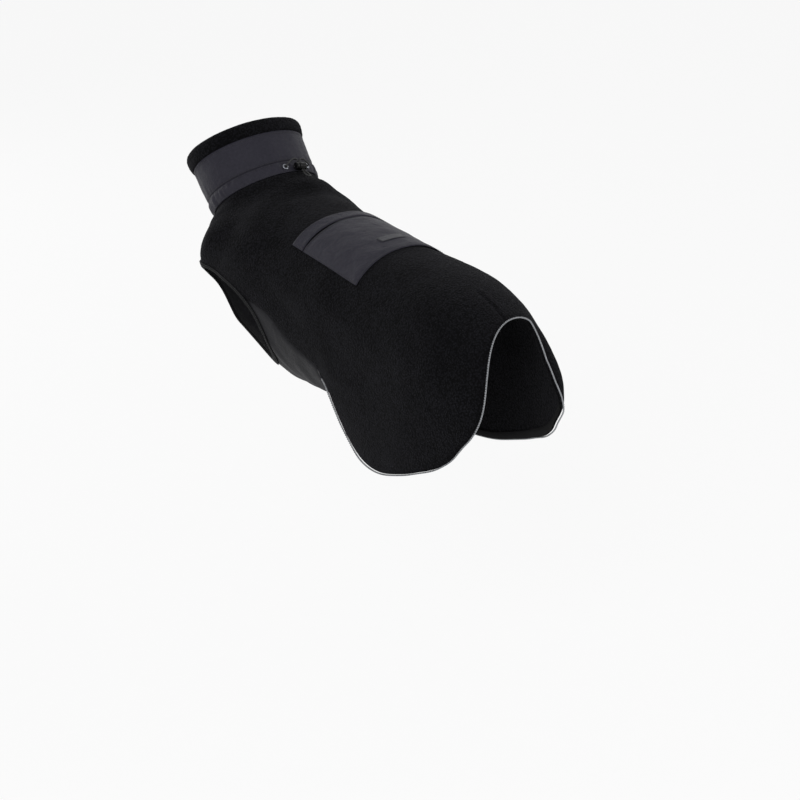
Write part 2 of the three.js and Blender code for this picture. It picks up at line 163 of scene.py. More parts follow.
def form_directions(station, angle):
    """Directions on the form: along the stations, round the girth, out of the cloth."""
    small = 0.8
    along = section_point(station + small, angle) - section_point(station - small, angle)
    around = section_point(station, angle + small) - section_point(station, angle - small)
    return along / (2 * small), around / (2 * small), unit(np.cross(around, along))


# Girth length from the midline of the back, in mm, at every grid station and degree. The right side
# has negative lengths, and angles past 180 go on round below the belly.
GRID_STEP = 4.0
GRID_STATIONS = np.arange(0, 692, GRID_STEP)
GRID_ANGLES = np.arange(-180, 361, 1.0)


def girth_table():
    turned = np.where(GRID_ANGLES > 180, GRID_ANGLES - 360, GRID_ANGLES)
    rings = section_point(GRID_STATIONS[:, None], turned[None, :]) / MM
    steps = np.linalg.norm(np.diff(rings, axis=1), axis=2)
    lengths = np.concatenate([np.zeros((len(GRID_STATIONS), 1)), np.cumsum(steps, axis=1)], axis=1)
    return lengths - lengths[:, GRID_ANGLES == 0]


GIRTH = girth_table()


def girth_rows(station):
    row = np.clip(np.asarray(station, float) / GRID_STEP, 0, len(GRID_STATIONS) - 1.001)
    i = row.astype(int)
    part = (row - i)[..., None]
    return GIRTH[i] * (1 - part) + GIRTH[i + 1] * part


def to_girth(station, angle):
    """Girth length in mm, negative on the right side, past half way round below the belly."""
    station, angle = np.broadcast_arrays(np.asarray(station, float), np.asarray(angle, float))
    rows = girth_rows(station).reshape(-1, len(GRID_ANGLES))
    column = np.clip(angle.reshape(-1) - GRID_ANGLES[0], 0, len(GRID_ANGLES) - 1.001)
    i = column.astype(int)
    part = column - i
    pick = np.arange(len(column))
    return (rows[pick, i] * (1 - part) + rows[pick, i + 1] * part).reshape(station.shape)


def to_angle(station, girth):
    """The angle at one station for an array of girth lengths."""
    return np.interp(girth, girth_rows(np.array([station]))[0], GRID_ANGLES)


# ---- The side seam and the hem, as the frame's solids have them ---------------------------------

def spline(points, per_span=8):
    """Points along a smooth curve through the given (station, angle) points."""
    p = np.array(points, float)
    p = np.vstack([2 * p[0] - p[1], p, 2 * p[-1] - p[-2]])
    t = np.linspace(0, 1, per_span, endpoint=False)[:, None]
    spans = [0.5 * (2 * b + (c - a) * t + (2 * a - 5 * b + 4 * c - d) * t ** 2
                    + (3 * b - a - 3 * c + d) * t ** 3) for a, b, c, d in zip(p, p[1:], p[2:], p[3:])]
    return np.vstack([*spans, p[-2:-1]])


def mirror(points):
    return np.array(points) * (1, -1)


def lower_half(points):
    """The right side of a line below the belly: its angle counts on past 180."""
    return np.stack([np.array(points)[:, 0], 360 - np.array(points)[:, 1]], -1)


def flat_of(points):
    """(girth, station) in mm of (station, angle) points: the plane that the pieces are cut on."""
    points = np.asarray(points, float)
    return np.stack([to_girth(points[:, 0], points[:, 1]), points[:, 0]], -1)


def form_of(flat):
    """(station, angle) of flat (girth, station) points."""
    return np.array([(y, float(to_angle(y, np.array([x]))[0])) for x, y in flat])


def inside(points, polygon):
    """Whether flat points are inside a closed flat polygon."""
    result = np.zeros(len(points), bool)
    x, y = points[:, 0], points[:, 1]
    for (x0, y0), (x1, y1) in zip(polygon, np.roll(polygon, -1, axis=0)):
        crosses = (y0 > y) != (y1 > y)
        with np.errstate(divide="ignore", invalid="ignore"):
            result ^= crosses & (x < (x1 - x0) * (y - y0) / (y1 - y0) + x0)
    return result


def nearest(points, targets):
    """Distance from each flat point to the nearest target."""
    tree = tree_of(targets)
    return np.array([tree.find((x, y, 0))[2] for x, y in points])


COLLAR_SEAM = 87.2    # 0.4 mm under the end of the collar, so that no light shows through the seam
BELLY_END, BELLY_HEM_END = 316, 328
# (station, angle) points on the left side; the right side is the mirror image, but for the tail arch
SIDE_SEAM = [(88.4, 119), (112, 116.5), (138, 113.5), (162, 112), (184, 109), (203, 104), (220, 102.5),
             (243, 103.5), (262, 109), (288, 115.5), (328.4, 124)]
FLAP_HEM = [(328.4, 124), (342, 126), (354, 130), (367, 134), (384, 134.5), (405, 131.5), (432, 127.5),
            (471, 122), (515, 115), (552, 109), (589, 102), (620, 93.5), (644, 79)]
LEFT_ARCH = [(654, 64), (649, 51), (638, 39.5), (626, 28), (616, 17), (609.5, 8), (605.5, 0)]
RIGHT_ARCH = [(651, 66), (644, 56), (626, 46), (606, 37), (598, 27), (599, 17), (602, 8), (605.5, 0)]
side_seam = spline(SIDE_SEAM)
SOFTENED_STEP, SOFTENED_REACH = 2.0, 9


def softened(points):
    """The same (station, angle) line with its small kinks drawn out over 18 mm either side."""
    line = resample(flat_of(points), SOFTENED_STEP)
    reach = SOFTENED_REACH
    padded = np.vstack([2 * line[0] - line[reach:0:-1], line, 2 * line[-1] - line[-2:-reach - 2:-1]])
    sums = np.cumsum(np.vstack([np.zeros((1, 2)), padded]), axis=0)
    width = 2 * reach + 1
    return form_of((sums[width:] - sums[:-width]) / width)


left_hem = softened(spline(FLAP_HEM + LEFT_ARCH))
right_hem = softened(mirror(spline(FLAP_HEM + RIGHT_ARCH)))
whole_hem = np.vstack([left_hem, right_hem[-2::-1]])
hem_flat = resample(flat_of(whole_hem), 3.0)
hem_fine = resample(hem_flat, 1.0)
hem_fine_angle = form_of(hem_fine)[:, 1]
hem_tree = tree_of(hem_fine)

# The flaps' lower edges stand out a little, and the right flap's rear edge curls in:
# lift (mm) of the hem at each angle, which fades over this reach (mm) from the hem
HEM_ANGLES = (-140, -130, -112, -102, -93, -80, -68, -58, -48, -37, -27, 0,
              60, 78, 90, 110, 118, 124, 130, 140)
HEM_LIFTS = (2.5, 2.5, 0, -4, -8, -8.5, -11, -14, -13, -6, 0, 0, -1, 0, 1, 6, 5.5, 4, 2.5, 2.5)
HEM_REACH = 26
HEM_START = 320


def hem_lift(station, angle):
    """How far the hem curls out or in at each point, in mm."""
    lift = np.zeros(len(station))
    near = np.where(station > HEM_START)[0]
    if not len(near):
        return lift
    flat = np.stack([to_girth(station[near], angle[near]), station[near]], -1)
    found = [hem_tree.find((x, y, 0))[1:] for x, y in flat]
    index = np.array([f[0] for f in found])
    share = 1 - np.clip(np.array([f[1] for f in found]) / HEM_REACH, 0, 1)
    lift[near] = np.interp(hem_fine_angle[index], HEM_ANGLES, HEM_LIFTS) * share ** 2
    return lift


# ---- Creases ------------------------------------------------------------------------------------
# Each crease: three points (station, angle) that it bends through, its width and its height (mm)
CREASES = [
    ((108, -62), (117, -22), (113, 14), 13, 5.5),
    ((134, -58), (143, -12), (134, 34), 15, -3.2),
    ((106, 22), (128, 52), (158, 74), 12, -2.4),
    ((116, 8), (150, 40), (196, 62), 15, 2.4),
    ((160, -70), (178, -30), (205, -6), 17, 2.8),
    ((170, 10), (196, 34), (236, 50), 13, -2.0),
    ((182, 70), (214, 58), (244, 48), 11, -1.8),
    ((186, -74), (212, -60), (240, -49), 12, -1.6),
    ((210, 86), (262, 92), (318, 104), 16, -2.2),
    ((214, -88), (258, -90), (306, -100), 18, -2.0),
    ((300, 62), (356, 76), (420, 84), 24, 2.2),
    ((310, -70), (372, -74), (430, -90), 22, 2.4),
    ((392, 52), (446, 70), (500, 92), 20, -1.8),
    ((400, -48), (452, -64), (496, -86), 22, -2.0),
    ((338, 112), (378, 108), (424, 104), 14, 1.8),
    ((344, -114), (388, -110), (432, -102), 15, 1.6),
    ((470, 30), (524, 44), (580, 66), 22, 1.8),
    ((476, -34), (530, -46), (576, -62), 20, 1.6),
    ((520, 92), (566, 82), (612, 72), 13, -1.6),
    ((524, -94), (570, -84), (610, -70), 14, -1.8),
    ((96, 128), (112, 140), (126, 158), 8, 2.6),
    ((100, -122), (114, -138), (124, -160), 9, 2.4),
    ((98, 150), (110, 168), (104, 190), 8, -2.0),
    ((130, 156), (176, 164), (228, 158), 10, 2.2),
    ((134, -160), (180, -166), (226, -156), 10, 2.4),
    ((240, 128), (262, 150), (256, 176), 9, -1.8),
    ((244, -130), (266, -152), (262, -172), 9, -1.6),
    ((276, 122), (292, 146), (300, 176), 8, 1.8),
    ((280, -124), (298, -148), (296, -170), 8, 1.6),
    ((222, 108), (246, 122), (268, 142), 7, 1.6),
    ((226, -110), (250, -124), (272, -140), 7, 1.5),
]


def crease_line(points):
    """A bent line through three points, as (girth, station) in mm."""
    start, middle, end = (np.array(p, float) for p in points)
    t = np.linspace(0, 1, 9)[:, None]
    bend = 2 * middle - (start + end) / 2
    return flat_of((1 - t) ** 2 * start + 2 * t * (1 - t) * bend + t ** 2 * end)


CREASE_LINES = [(crease_line(c[:3]), c[3], c[4]) for c in CREASES]


def crease_height(station, angle):
    """How far the cloth stands off the form, in mm."""
    station, angle = np.broadcast_arrays(np.asarray(station, float), np.asarray(angle, float))
    shape = station.shape
    angle = np.where(angle > 180, angle - 360, angle).reshape(-1)
    station = station.reshape(-1)
    here = np.stack([to_girth(station, angle), station], -1)
    height = np.zeros(len(here))
    for line, width, rise in CREASE_LINES:
        low, high = line.min(0) - 3 * width, line.max(0) + 3 * width
        near = np.where(((here > low) & (here < high)).all(1))[0]
        if not len(near):
            continue
        points = here[near]
        best = np.full(len(near), 1e9)
        share = np.zeros(len(near))
        for k in range(len(line) - 1):
            a, step = line[k], line[k + 1] - line[k]
            t = np.clip(((points - a) @ step) / (step @ step), 0, 1)
            distance = np.linalg.norm(points - (a + t[:, None] * step), axis=1)
            closer = distance < best
            best = np.where(closer, distance, best)
            share = np.where(closer, (k + t) / (len(line) - 1), share)
        fade = np.sin(np.pi * np.clip(share, 0, 1)) ** 0.7
        height[near] += rise * fade * np.exp(-(best / width) ** 2)
    return (height + hem_lift(station, angle)).reshape(shape)


def on_cloth(station, angle, height=0.0, crease=None):
    """Points at a height (mm) above the creased form, in metres."""
    station, angle = np.broadcast_arrays(np.asarray(station, float), np.asarray(angle, float))
    if crease is None:
        crease = crease_height(station, angle)
    out = form_directions(station, angle)[2]
    lift = np.broadcast_to(np.asarray(height, float) + crease, station.shape)
    return section_point(station, angle) + MM * lift[..., None] * out


# ---- Cut pieces ---------------------------------------------------------------------------------

class Cut:
    """A flat piece: its triangles, and for each point its station, angle and distance to the edge."""

    def __init__(self, outline, spacing):
        step = spacing / MM
        edge = resample(flat_of(outline), step, closed=True)
        low, high = edge.min(0), edge.max(0)
        rows = []
        for k, y in enumerate(np.arange(low[1] + step / 2, high[1], step * 0.866)):
            x = np.arange(low[0] + (k % 2) * step / 2, high[0], step)
            rows.append(np.stack([x, np.full(len(x), y)], -1))
        fill = np.vstack(rows)
        fill = fill[inside(fill, edge)]
        fill = fill[nearest(fill, edge) > 0.62 * step]
        flat = np.vstack([edge, fill])
        edges = [(i, (i + 1) % len(edge)) for i in range(len(edge))]
        result = geometry.delaunay_2d_cdt([Vector(p) for p in flat], edges, [], 0, 1e-4)
        triangles = np.array(result[2])
        kept = [origins[0] for origins in result[3]]
        self.flat = flat[kept]
        centres = self.flat[triangles].mean(1)
        triangles = triangles[inside(centres, edge)]
        used, triangles = np.unique(triangles, return_inverse=True)
        self.triangles = triangles.reshape(-1, 3)
        self.flat = self.flat[used]
        self.station = self.flat[:, 1]
        self.angle = np.empty(len(self.flat))
        for y in np.unique(np.round(self.station, 5)):
            row = np.abs(self.station - y) < 1e-4
            self.angle[row] = to_angle(y, self.flat[row, 0])
        self.to_edge = nearest(self.flat, resample(edge, step / 3, closed=True))
        self.crease = crease_height(self.station, self.angle)
        a, b, c = (self.flat[self.triangles[:, k]] for k in range(3))
        turn = (b - a)[:, 0] * (c - a)[:, 1] - (b - a)[:, 1] * (c - a)[:, 0]
        self.triangles[turn < 0] = self.triangles[turn < 0][:, ::-1]
        self.triangles = self.triangles[np.abs(turn) > 0.02 * step ** 2]
        sides = {(t[k], t[k - 2]) for t in self.triangles.tolist() for k in range(3)}
        self.rim = np.array(sorted(side for side in sides if side[::-1] not in sides))


def encloses(vertices, faces):
    """The volume that closed faces hold: negative where they face inwards."""
    points = np.asarray(vertices, float)
    fans = np.array([(f[0], f[k], f[k + 1]) for f in faces for k in range(1, len(f) - 1)])
    a, b, c = (points[fans[:, k]] for k in range(3))
    return np.sum(a * np.cross(b, c)) / 6


def wrapped_faces(rings, sides, closed=True, base=0):
    """Faces between rings of points; where closed, the last ring meets the first."""
    faces = []
    for i in range(rings if closed else rings - 1):
        here, below = base + i * sides, base + (i + 1) % rings * sides
        for j in range(sides):
            n = (j + 1) % sides
            faces.append((here + j, here + n, below + n, below + j))
    return faces


def make_mesh(name, vertices, faces, material, cloth=None, smooth=True):
    """A closed mesh object. cloth: flat coordinates in metres that the weaves are drawn on."""
    mesh = bpy.data.meshes.new(name)
    order = 1 if encloses(vertices, faces) > 0 else -1
    mesh.from_pydata([tuple(v) for v in vertices], [], [tuple(int(i) for i in f)[::order] for f in faces])
    if cloth is not None:
        layer = mesh.attributes.new("cloth", "FLOAT_VECTOR", "POINT")
        values = np.zeros((len(vertices), 3))
        values[:, :cloth.shape[1]] = cloth
        layer.data.foreach_set("vector", values.ravel())
    mesh.polygons.foreach_set("use_smooth", [smooth] * len(mesh.polygons))
    mesh.materials.append(material)
    piece = bpy.data.objects.new(name, mesh)
    bpy.context.collection.objects.link(piece)
    return piece


def rounded(to_edge, radius):
    """How far a rounded edge falls below its flat face, as a share of the radius."""
    share = np.clip(1 - to_edge / radius, 0, 1)
    return 1 - np.sqrt(1 - share ** 2)


def shell(name, cut, material, low, high, edge_radius, relief=0, inner_relief=0):
    """A closed sheet between two heights (mm), with rounded edges and a relief on its faces."""
    middle = (low + high) / 2
    half = (high - low) / 2
    fall = rounded(cut.to_edge, edge_radius) * half
    outer = middle + half - fall + relief
    inner = middle - half + fall + inner_relief
    top = on_cloth(cut.station, cut.angle, outer, cut.crease)
    bottom = on_cloth(cut.station, cut.angle, inner, cut.crease)
    count = len(top)
    a, b = cut.rim.T
    walls = np.vstack([np.stack([b, a, a + count], -1), np.stack([b, a + count, b + count], -1)])
    faces = np.vstack([cut.triangles, cut.triangles[:, ::-1] + count, walls])
    flat = cut.flat * MM
    return make_mesh(name, np.vstack([top, bottom]), faces, material, np.vstack([flat, flat]))


def ring(name, profile, material, relief, steps):
    """A closed band round the neck. profile: (station, height) points of its cross-section."""
    profile = np.array(profile, float)
    angle = np.linspace(-180, 180, steps, endpoint=False)
    shape = (len(profile), steps)
    station = np.broadcast_to(profile[:, 0, None], shape)
    height = np.broadcast_to(profile[:, 1, None], shape)
    angle = np.broadcast_to(angle, shape)
    height = height + relief(station, angle, height)
    points = on_cloth(station, angle, height, np.zeros(shape))
    along = np.broadcast_to(run_lengths(profile)[:, None], shape)
    cloth = np.stack([to_girth(station, angle), along], -1) * MM
    return make_mesh(name, points.reshape(-1, 3), wrapped_faces(*shape), material, cloth.reshape(-1, 2))


def tube(name, points, radius, material, sides=12, bead=1.0):
    """A round band along a line of points in metres. bead: its radius factor along the line."""
    along = unit(np.gradient(points, axis=0))
    side = np.zeros_like(points)
    side[0] = unit(np.cross(along[0], (0.3, 0.2, 1.0)))
    for i in range(1, len(points)):
        side[i] = unit(side[i - 1] - along[i] * (side[i - 1] @ along[i]))
    up = np.cross(along, side)
    turn = np.linspace(0, 2 * np.pi, sides, endpoint=False)
    factor = np.broadcast_to(bead, len(points))
    offset = np.cos(turn)[None, :, None] * side[:, None] + np.sin(turn)[None, :, None] * up[:, None]
    rings = points[:, None] + radius * factor[:, None, None] * offset
    length = run_lengths(points)
    cloth = np.stack(np.broadcast_arrays(turn[None, :] * radius, length[:, None]), -1)
    cloth = np.vstack([cloth.reshape(-1, 2), [(0, 0), (0, length[-1])]])
    vertices = np.vstack([rings.reshape(-1, 3), points[0], points[-1]])
    faces = wrapped_faces(len(points), sides, closed=False)
    start, end = len(vertices) - 2, len(vertices) - 1
    last = (len(points) - 1) * sides
    for j in range(sides):
        n = (j + 1) % sides
        faces.append((start, n, j))
        faces.append((end, last + j, last + n))
    return make_mesh(name, vertices, faces, material, cloth)


STITCH_RING = 6
STITCH_SHAPE = [(-0.5, 0.25), (-0.32, 0.9), (0, 1.0), (0.32, 0.9), (0.5, 0.25)]    # along it, thickness


def stitches(name, lines, material, length=2.6, gap=1.2, width=0.5, height=0.1):
    """Rows of thread along (station, angle, height) lines: one bead for each stitch."""
    vertices, faces, cloth = [], [], []
    turn = np.linspace(0, 2 * np.pi, STITCH_RING, endpoint=False)
    for line in lines:
        line = np.array(line, float)
        points = on_cloth(line[:, 0], line[:, 1], line[:, 2] + height)
        outward = form_directions(line[:, 0], line[:, 1])[2]
        both = np.hstack([points, outward])
        steps = run_lengths(points)
        for at in np.arange(length / 2, steps[-1] / MM - length / 2, length + gap) * MM:
            here = np.array([np.interp(at, steps, both[:, k]) for k in range(6)])
            ahead = np.array([np.interp(at + 0.5 * MM, steps, both[:, k]) for k in range(3)])
            along = unit(ahead - here[:3])
            out = unit(here[3:])
            side = unit(np.cross(along, out))
            base = len(vertices)
            for part, swell in STITCH_SHAPE:
                sink = -0.6 * width * (2 * part) ** 2
                middle = here[:3] + MM * (length * part * along + sink * out)
                for t in turn:
                    vertices.append(middle + MM * width / 2 * swell
                                    * (1.3 * np.cos(t) * side + np.sin(t) * out))
                    cloth.append((MM * t, at + MM * part * length))
            rings = len(STITCH_SHAPE)
            faces += wrapped_faces(rings, STITCH_RING, closed=False, base=base)
            faces.append(tuple(base + j for j in reversed(range(STITCH_RING))))
            faces.append(tuple(base + (rings - 1) * STITCH_RING + j for j in range(STITCH_RING)))
    return make_mesh(name, vertices, faces, material, np.array(cloth))


# ---- Materials ----------------------------------------------------------------------------------

def material(name):
    """A new node material: its nodes, its links and its shader."""
    made = bpy.data.materials.new(name)
    made.use_nodes = True
    return made, made.node_tree.nodes, made.node_tree.links, made.node_tree.nodes["Principled BSDF"]


def linear(red, green, blue):
    """Shader colour of an sRGB colour from 0 to 255."""
    values = [c / 255 for c in (red, green, blue)]
    return (*[c / 12.92 if c <= 0.04045 else ((c + 0.055) / 1.055) ** 2.4 for c in values], 1)


def place(nodes, kind, **values):
    """A node with its settings and its inputs."""
    node = nodes.new(kind)
    for key, value in values.items():
        if hasattr(node, key):
            setattr(node, key, value)
        else:
            node.inputs[key.replace("_", " ")].default_value = value
    return node


def cloth_place(nodes):
    """The flat coordinates of the cloth, in metres."""
    return place(nodes, "ShaderNodeAttribute", attribute_name="cloth").outputs["Vector"]


def space_place(nodes):
    return nodes.new("ShaderNodeTexCoord").outputs["Object"]


def wave_scale(period):
    """The wave texture's scale at which its bands are this far apart, in metres."""
    return 0.05 * 2 * math.pi / period


def ramp(nodes, links, source, low, high, low_colour, high_colour):
    """A colour that goes from one to another as the source goes from low to high."""
    node = nodes.new("ShaderNodeValToRGB")
    node.color_ramp.elements[0].position = low
    node.color_ramp.elements[0].color = low_colour
    node.color_ramp.elements[1].position = high
    node.color_ramp.elements[1].color = high_colour
    links.new(source, node.inputs["Fac"])
    return node.outputs["Color"]


def bump(nodes, links, source, distance, strength=1.0, below=None):
    node = place(nodes, "ShaderNodeBump", Strength=strength, Distance=distance)
    links.new(source, node.inputs["Height"])
    if below is not None:
        links.new(below, node.inputs["Normal"])
    return node.outputs["Normal"]


def weighted_sum(nodes, links, first, weight, second):
    node = place(nodes, "ShaderNodeMath", operation="MULTIPLY_ADD")
    links.new(first, node.inputs[0])
    node.inputs[1].default_value = weight
    links.new(second, node.inputs[2])
    return node.outputs["Value"]


def fleece_material():
    """Short curly pile over fine fibres, with painted shade in the hollows between tufts and painted light
    on the tufts' tops.
    """
    made, nodes, links, shader = material("curly_fleece")
    where = space_place(nodes)
    warp = place(nodes, "ShaderNodeTexNoise", Scale=160.0, Detail=2.0, Roughness=0.6)
    links.new(where, warp.inputs["Vector"])
    bend = place(nodes, "ShaderNodeVectorMath", operation="SCALE")
    bend.inputs["Scale"].default_value = 0.004
    links.new(warp.outputs["Color"], bend.inputs[0])
    moved = place(nodes, "ShaderNodeVectorMath", operation="ADD")
    links.new(where, moved.inputs[0])
    links.new(bend.outputs["Vector"], moved.inputs[1])
    tufts = place(nodes, "ShaderNodeTexVoronoi", feature="SMOOTH_F1", Scale=390.0, Smoothness=0.25)
    links.new(moved.outputs["Vector"], tufts.inputs["Vector"])
    fibres = place(nodes, "ShaderNodeTexNoise", Scale=1500.0, Detail=3.0, Roughness=0.7)
    links.new(where, fibres.inputs["Vector"])
    wear = place(nodes, "ShaderNodeTexNoise", Scale=26.0, Detail=3.0, Roughness=0.6)
    links.new(where, wear.inputs["Vector"])
    # Painted shade and light: the colour darkens with the distance from each tuft's middle, so the hollows
    # are painted dark and the tops light, over random patches of tone from the broad noise
    tone = weighted_sum(nodes, links, wear.outputs["Fac"], 0.5, tufts.outputs["Distance"])
    colour = ramp(nodes, links, tone, 0.25, 0.85, linear(27, 27, 31), linear(4, 4, 5))
    links.new(colour, shader.inputs["Base Color"])
    lumps = bump(nodes, links, tufts.outputs["Distance"], -0.0016, 1.0)
    links.new(bump(nodes, links, fibres.outputs["Fac"], 0.0005, 0.8, lumps), shader.inputs["Normal"])
    shader.inputs["Roughness"].default_value = 0.95
    shader.inputs["Specular IOR Level"].default_value = 0.08
    shader.inputs["Sheen Weight"].default_value = 0.06
    shader.inputs["Sheen Roughness"].default_value = 0.45
    shader.inputs["Sheen Tint"].default_value = linear(150, 150, 160)
    return made


def woven_material(name, dark, light, thread, roughness, sheen=0.0, wrinkle=0.0006, specular=0.5):
    """A plain weave: two crossed sets of threads, this many metres apart, over soft wrinkles."""
    made, nodes, links, shader = material(name)
    cloth = cloth_place(nodes)
    waves = []
    for direction in ("X", "Y"):
        wave = place(nodes, "ShaderNodeTexWave", wave_type="BANDS", bands_direction=direction,
                     Scale=wave_scale(thread), Distortion=0.4, Detail=1.0)
        links.new(cloth, wave.inputs["Vector"])
        waves.append(wave.outputs["Fac"])
    weave = place(nodes, "ShaderNodeMath", operation="MULTIPLY")
    links.new(waves[0], weave.inputs[0])
    links.new(waves[1], weave.inputs[1])
    where = space_place(nodes)
    folds = place(nodes, "ShaderNodeTexNoise", Scale=55.0, Detail=4.0, Roughness=0.55, Distortion=0.6)
    links.new(where, folds.inputs["Vector"])
    tone = place(nodes, "ShaderNodeTexNoise", Scale=240.0, Detail=4.0, Roughness=0.7)
    links.new(where, tone.inputs["Vector"])
    # Partly painted light: the raised thread crossings, the same heights as the fine bump, are painted
    # lighter, over random patches of tone from the noise
    mixed = weighted_sum(nodes, links, weave.outputs["Value"], 0.35, tone.outputs["Fac"])
    links.new(ramp(nodes, links, mixed, 0.3, 0.9, dark, light), shader.inputs["Base Color"])
    wrinkles = bump(nodes, links, folds.outputs["Fac"], wrinkle * 4, 1.0)
    links.new(bump(nodes, links, weave.outputs["Value"], 0.00012, 0.8, wrinkles), shader.inputs["Normal"])
    shader.inputs["Roughness"].default_value = roughness
    shader.inputs["Specular IOR Level"].default_value = specular
    shader.inputs["Sheen Weight"].default_value = sheen
    shader.inputs["Sheen Roughness"].default_value = 0.4
    return made


def solid_material(name, dark, light, roughness, metallic, scale, depth):
    """Metal or moulded plastic with a fine uneven finish."""
    made, nodes, links, shader = material(name)
    where = space_place(nodes)
    grain = place(nodes, "ShaderNodeTexNoise", Scale=scale, Detail=4.0, Roughness=0.6)
    links.new(where, grain.inputs["Vector"])
    links.new(ramp(nodes, links, grain.outputs["Fac"], 0.3, 0.7, dark, light), shader.inputs["Base Color"])
    links.new(bump(nodes, links, grain.outputs["Fac"], depth, 0.7), shader.inputs["Normal"])
    gloss = place(nodes, "ShaderNodeMapRange")
    gloss.inputs["To Min"].default_value = roughness * 0.8
    gloss.inputs["To Max"].default_value = roughness * 1.25
    links.new(grain.outputs["Fac"], gloss.inputs["Value"])
    links.new(gloss.outputs["Result"], shader.inputs["Roughness"])
    shader.inputs["Metallic"].default_value = metallic
    shader.inputs["Specular IOR Level"].default_value = 0.12
    return made


def braid_material():
    """Thin braided cord: two crossed spirals of strands."""
    made, nodes, links, shader = material("braided_cord")
    cloth = cloth_place(nodes)
    heights = []
    for lean in (1, -1):
        mapping = nodes.new("ShaderNodeMapping")
        mapping.inputs["Rotation"].default_value = (0, 0, lean * math.radians(40))
        links.new(cloth, mapping.inputs["Vector"])
        wave = place(nodes, "ShaderNodeTexWave", Scale=wave_scale(0.0007))
        links.new(mapping.outputs["Vector"], wave.inputs["Vector"])
        heights.append(wave.outputs["Fac"])
    braid = place(nodes, "ShaderNodeMath", operation="MAXIMUM")
    links.new(heights[0], braid.inputs[0])
    links.new(heights[1], braid.inputs[1])
    # Painted light and shade: the strands' crests are painted lighter and the grooves between them darker,
    # from the same heights as the bump
    tone = ramp(nodes, links, braid.outputs["Value"], 0.2, 0.9, linear(6, 6, 7), linear(20, 20, 22))
    links.new(tone, shader.inputs["Base Color"])
    links.new(bump(nodes, links, braid.outputs["Value"], 0.0002), shader.inputs["Normal"])
    shader.inputs["Roughness"].default_value = 0.6
    return made


FLEECE = fleece_material()
NYLON = woven_material("shell_nylon", linear(35, 34, 42), linear(47, 46, 55), 0.0006, 0.55,
                       sheen=0.02, wrinkle=0.0006, specular=0.12)
STRETCH = woven_material("stretch_jersey", linear(17, 17, 20), linear(29, 29, 33), 0.0008, 0.75,
                         sheen=0.05, wrinkle=0.0003, specular=0.2)
BINDING = woven_material("binding_tape", linear(8, 8, 9), linear(16, 16, 18), 0.0009, 0.8,
                         wrinkle=0.0001, specular=0.12)
PIPING = woven_material("reflective_piping", linear(118, 120, 124), linear(168, 170, 174), 0.0005, 0.45,
                        wrinkle=0.0001)
LABEL = woven_material("label_satin", linear(44, 44, 49), linear(60, 60, 66), 0.0004, 0.45,
                       wrinkle=0.0001, specular=0.2)
THREAD = woven_material("dark_thread", linear(14, 14, 16), linear(34, 34, 38), 0.0003, 0.6,
                        wrinkle=0.00005)
METAL = solid_material("eyelet_nickel", linear(104, 106, 112), linear(136, 138, 144), 0.25,
                       metallic=1.0, scale=900.0, depth=0.00006)
PLASTIC = solid_material("lock_plastic", linear(5, 5, 6), linear(10, 10, 12), 0.2,
                         metallic=0.0, scale=700.0, depth=0.00005)
CORD = braid_material()


# ---- Camera, and the cord with its lock ---------------------------------------------------------

camera = bpy.data.objects.new("camera", bpy.data.cameras.new("camera"))
bpy.context.collection.objects.link(camera)
bpy.context.scene.camera = camera
AIM = Vector((0, 0.129, -0.228))
AZIMUTH, ELEVATION, DISTANCE = math.radians(144.5), math.radians(22.5), 2.77
away = Vector((math.sin(AZIMUTH) * math.cos(ELEVATION), -math.cos(AZIMUTH) * math.cos(ELEVATION),
               math.sin(ELEVATION)))
camera.location = AIM + DISTANCE * away
camera.rotation_euler = away.to_track_quat("Z", "Y").to_euler()
camera.data.lens, camera.data.sensor_width = 90.45, 36
camera.data.clip_end = 40


def own(piece, slot, *replaced):
    """The piece rides with the garment and stands for CAD nodes; slot is not used."""
    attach(piece, "root")
    if replaced:
        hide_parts(*replaced)
    return piece


def local_axes(station, angle, height):
    """Origin on the form (metres) and its axes: towards the dog's left, down the back, out."""
    start = section_point(station, angle)
    along, _, out = form_directions(station, angle)
    along = unit(along - out * (along @ out))
    return start + out * height * MM, np.cross(along, out), along, out


EYELET_STATION, EYELET_SPREAD = 79, 15
LOCK_STATION, LOCK_ANGLE, LOCK_HEIGHT = 85, -15, 7
# Half of the cord's way in the lock's axes (mm), from beside its eyelet through the lock to the loop's end
CORD_ROUTE = [(14, -10.5, 0.2), (8, -12.5, 1.8), (3.2, -11.5, 0.9), (1.7, -8.5, 0.1), (1.6, -5, 0),
              (1.6, 0, 0), (1.6, 5, 0), (2, 9, 0.4), (3.6, 14, 1.6), (3.6, 19, 3.4), (1.6, 21.5, 4.6)]


def turned(name, profile, axes, surface, steps):
    """A solid of revolution: (radius, height) points in mm round the third of the local axes."""
    origin, x, y, z = axes
    turn = np.linspace(0, 2 * np.pi, steps, endpoint=False)
    vertices, cloth = [], []
    for radius, height in profile:
        for t in turn:
            vertices.append(origin + MM * (radius * (math.cos(t) * x + math.sin(t) * y) + height * z))
            cloth.append((MM * radius * t, MM * height))
    return make_mesh(name, vertices, wrapped_faces(len(profile), steps), surface, np.array(cloth))


def smooth_profile(corners):
    """A closed profile that goes softly round its corners."""
    p = np.array(corners, float)
    points = []
    for before, here, after in zip(np.roll(p, 1, axis=0), p, np.roll(p, -1, axis=0)):
        start, end = here + (before - here) * 0.35, here + (after - here) * 0.35
        for t in np.linspace(0, 1, 5):
            points.append((1 - t) ** 2 * start + 2 * t * (1 - t) * here + t ** 2 * end)
    return points


lock_origin, lock_x, lock_y, lock_z = local_axes(LOCK_STATION, LOCK_ANGLE, LOCK_HEIGHT)
CORD_RADIUS = 1.2


